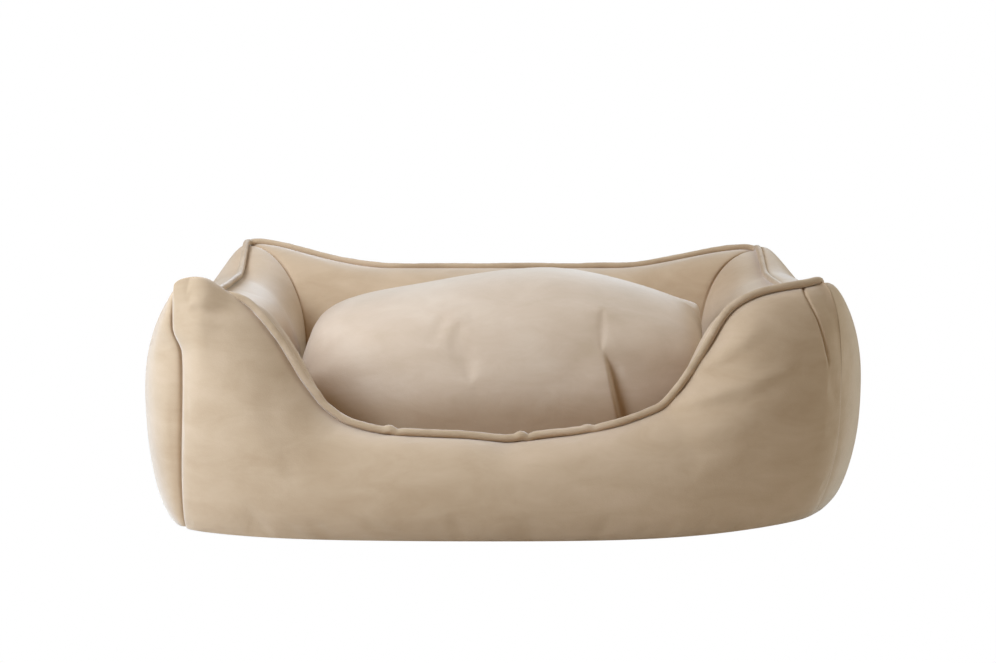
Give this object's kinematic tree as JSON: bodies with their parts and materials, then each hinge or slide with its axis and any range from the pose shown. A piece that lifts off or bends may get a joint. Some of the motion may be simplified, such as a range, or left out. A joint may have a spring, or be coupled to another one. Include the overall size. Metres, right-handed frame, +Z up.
{
  "type": "pet bed",
  "caption": "Rectangular bolster bed for a dog: four stuffed walls with a low scooped entrance round a padded floor, and a loose crowned cushion with a zip in its back seam.",
  "frame": {"origin": "centre of the underside, on the floor", "axes": "+X to the right seen from the entrance, along the bed's length; +Y to the back wall; +Z up"},
  "size_m": [0.9, 0.71, 0.3041],
  "materials": {
    "cover_cloth": "short-pile velour",
    "piping_cloth": "short-pile velour",
    "fibre": "polyester fibre",
    "foam": "open-cell foam",
    "non_slip_cloth": "woven, with rubber dots",
    "zip_tape": "woven tape",
    "zip_nylon": "moulded nylon",
    "zip_metal": "plated die casting"
  },
  "bodies": {
    "surround": {"front_outer_panel": "cover_cloth", "back_outer_panel": "cover_cloth", "left_outer_panel": "cover_cloth", "right_outer_panel": "cover_cloth", "front_inner_panel": "cover_cloth", "back_inner_panel": "cover_cloth", "left_inner_panel": "cover_cloth", "right_inner_panel": "cover_cloth", "front_piping": "piping_cloth", "back_piping": "piping_cloth", "left_piping": "piping_cloth", "right_piping": "piping_cloth", "front_wall_stuffing": "fibre", "back_wall_stuffing": "fibre", "left_wall_stuffing": "fibre", "right_wall_stuffing": "fibre", "base_sheet": "non_slip_cloth", "floor_wadding": "fibre", "nest_floor_panel": "cover_cloth"},
    "cushion": {"cushion_top_panel": "cover_cloth", "cushion_bottom_panel": "cover_cloth", "cushion_crown_fibre": "fibre", "cushion_lower_fibre": "fibre", "cushion_foam_slab": "foam", "zip_upper_tape": "zip_tape", "zip_lower_tape": "zip_tape", "zip_upper_teeth": "zip_nylon", "zip_lower_teeth": "zip_nylon", "zip_closed_stop": "zip_metal", "zip_open_stop": "zip_metal"},
    "zip_slider": {"zip_slider": "zip_metal"},
    "zip_pull": {"zip_pull": "zip_metal"}
  },
  "joints": [
    {"name": "cushion_lift", "type": "slide", "parent": "surround", "child": "cushion", "axis": [0, 0, 1], "range_m": [0, 0.31]},
    {"name": "zip_run", "type": "slide", "parent": "cushion", "child": "zip_slider", "axis": [1, 0, 0], "range_m": [0, 0.4055]},
    {"name": "pull_swing", "type": "hinge", "parent": "zip_slider", "child": "zip_pull", "pos_m": [-0.2029, 0.1465, 0.15], "axis": [0, 0, 1], "range_deg": [0, 175]}
  ]
}
